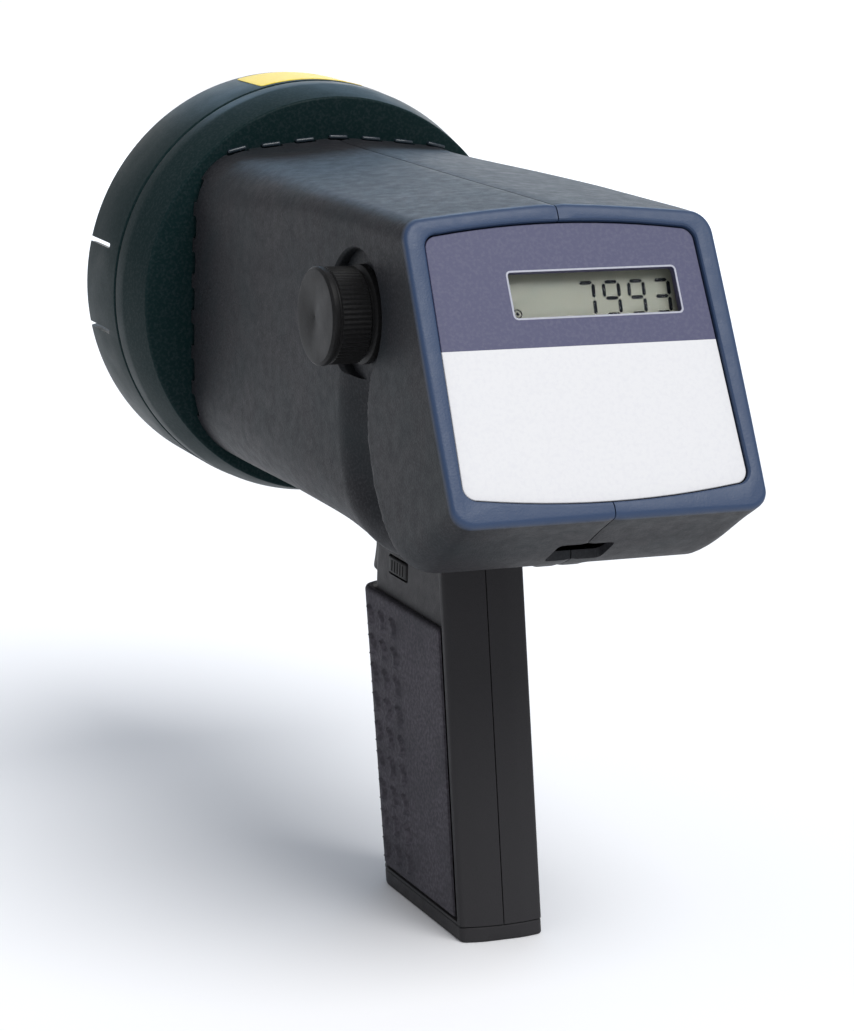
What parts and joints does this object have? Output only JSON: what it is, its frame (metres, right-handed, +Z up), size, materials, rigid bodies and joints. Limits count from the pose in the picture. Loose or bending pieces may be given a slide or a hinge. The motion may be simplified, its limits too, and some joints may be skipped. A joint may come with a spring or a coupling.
{
  "type": "timing light",
  "caption": "Handheld pistol-grip digital xenon strobe with a round lamp head, leaning LCD panel, side speed knob and trigger.",
  "frame": {"origin": "point on the flat lower face of the handle's foot plate, on its left-right middle and 1 mm behind its middle, between the tripod bushing and the charge jack", "axes": "+Z up along the handle towards the lamp head, -Y the way the lamp shines, +Y towards the user and the display, +X the side with the speed knob"},
  "size_m": [0.124, 0.235, 0.2196],
  "materials": {
    "shell_plastic": "fine moulded texture, charcoal black",
    "bell_plastic": "smooth satin black",
    "black_rubber": "matt, textured",
    "clear_plastic": "clear polycarbonate",
    "steel": "zinc plated",
    "mirror_coat": "vacuum-metallised",
    "ceramic": "unglazed",
    "quartz": "clear quartz",
    "label_yellow": "plain printed yellow",
    "slate_plastic": "slate, satin",
    "printed_film": "printed polycarbonate film, slate above and off-white below",
    "lcd": "grey-green liquid crystal",
    "black_plastic": "satin black",
    "board": "solder-masked circuit board",
    "white_plastic": "natural nylon",
    "brass": "turned brass",
    "cell_wrap": "shrink-wrapped cell",
    "coil": "taped winding",
    "capacitor_sleeve": "sleeved can",
    "lead": "silicone insulated wire"
  },
  "bodies": {
    "housing": {"left_shell": "shell_plastic", "right_shell": "shell_plastic", "foot_plate": "shell_plastic", "spring_seat": "shell_plastic", "reflector_bezel": "bell_plastic", "reflector_bell": "bell_plastic", "lens_gasket": "black_rubber", "left_grip_pad": "black_rubber", "right_grip_pad": "black_rubber", "front_lens": "clear_plastic", "window_lens": "clear_plastic", "bell_screw_1": "steel", "bell_screw_2": "steel", "bell_screw_3": "steel", "bell_screw_4": "steel", "encoder_body": "steel", "encoder_nut": "steel", "trigger_pin": "steel", "trigger_spring": "steel", "lock_spring": "steel", "foot_screw_1": "steel", "foot_screw_2": "steel", "charge_jack": "steel", "sync_jack": "steel", "case_screw_1": "steel", "case_screw_2": "steel", "case_screw_3": "steel", "case_screw_4": "steel", "case_screw_5": "steel", "case_screw_6": "steel", "reflector": "mirror_coat", "lamp_socket": "ceramic", "flash_tube": "quartz", "caution_label": "label_yellow", "panel_plate": "slate_plastic", "printed_overlay": "printed_film", "lcd_glass": "lcd", "lcd_holder": "black_plastic", "switch_body": "black_plastic", "display_board": "board", "main_board": "board", "tripod_bushing": "brass", "battery_cell_1": "cell_wrap", "battery_cell_2": "cell_wrap", "battery_cell_3": "cell_wrap", "battery_cell_4": "cell_wrap", "hv_transformer": "coil", "trigger_coil": "coil", "flash_capacitor": "capacitor_sleeve", "lamp_lead_left": "lead", "lamp_lead_right": "lead"},
    "control_knob": {"control_knob": "black_plastic", "encoder_shaft": "steel"},
    "trigger": {"trigger": "black_plastic"},
    "switch_plunger": {"switch_plunger": "white_plastic"},
    "lock_button": {"lock_button": "black_plastic"}
  },
  "joints": [
    {"name": "speed_knob_turn", "type": "hinge", "parent": "housing", "child": "control_knob", "pos_m": [0.048, 0.0195, 0.1725], "axis": [1, 0, 0], "continuous": true},
    {"name": "trigger_pull", "type": "hinge", "parent": "housing", "child": "trigger", "pos_m": [0, -0.0413, 0.0993], "axis": [1, 0, 0], "range_deg": [0, 10], "stiffness_Nm_per_rad": 0.35, "springref_deg": -5.73, "deforming": ["trigger_spring"]},
    {"name": "plunger_press", "type": "slide", "parent": "housing", "child": "switch_plunger", "axis": [0, 1, 0], "range_m": [0, 0.0011]},
    {"name": "lock_press", "type": "slide", "parent": "housing", "child": "lock_button", "axis": [-1, 0, 0], "range_m": [0, 0.0022], "stiffness_N_per_m": 300, "springref_m": -0.001, "deforming": ["lock_spring"]}
  ],
  "couplings": [
    {"joint": "plunger_press", "follows": "trigger_pull", "m_per_rad": 0.006}
  ]
}
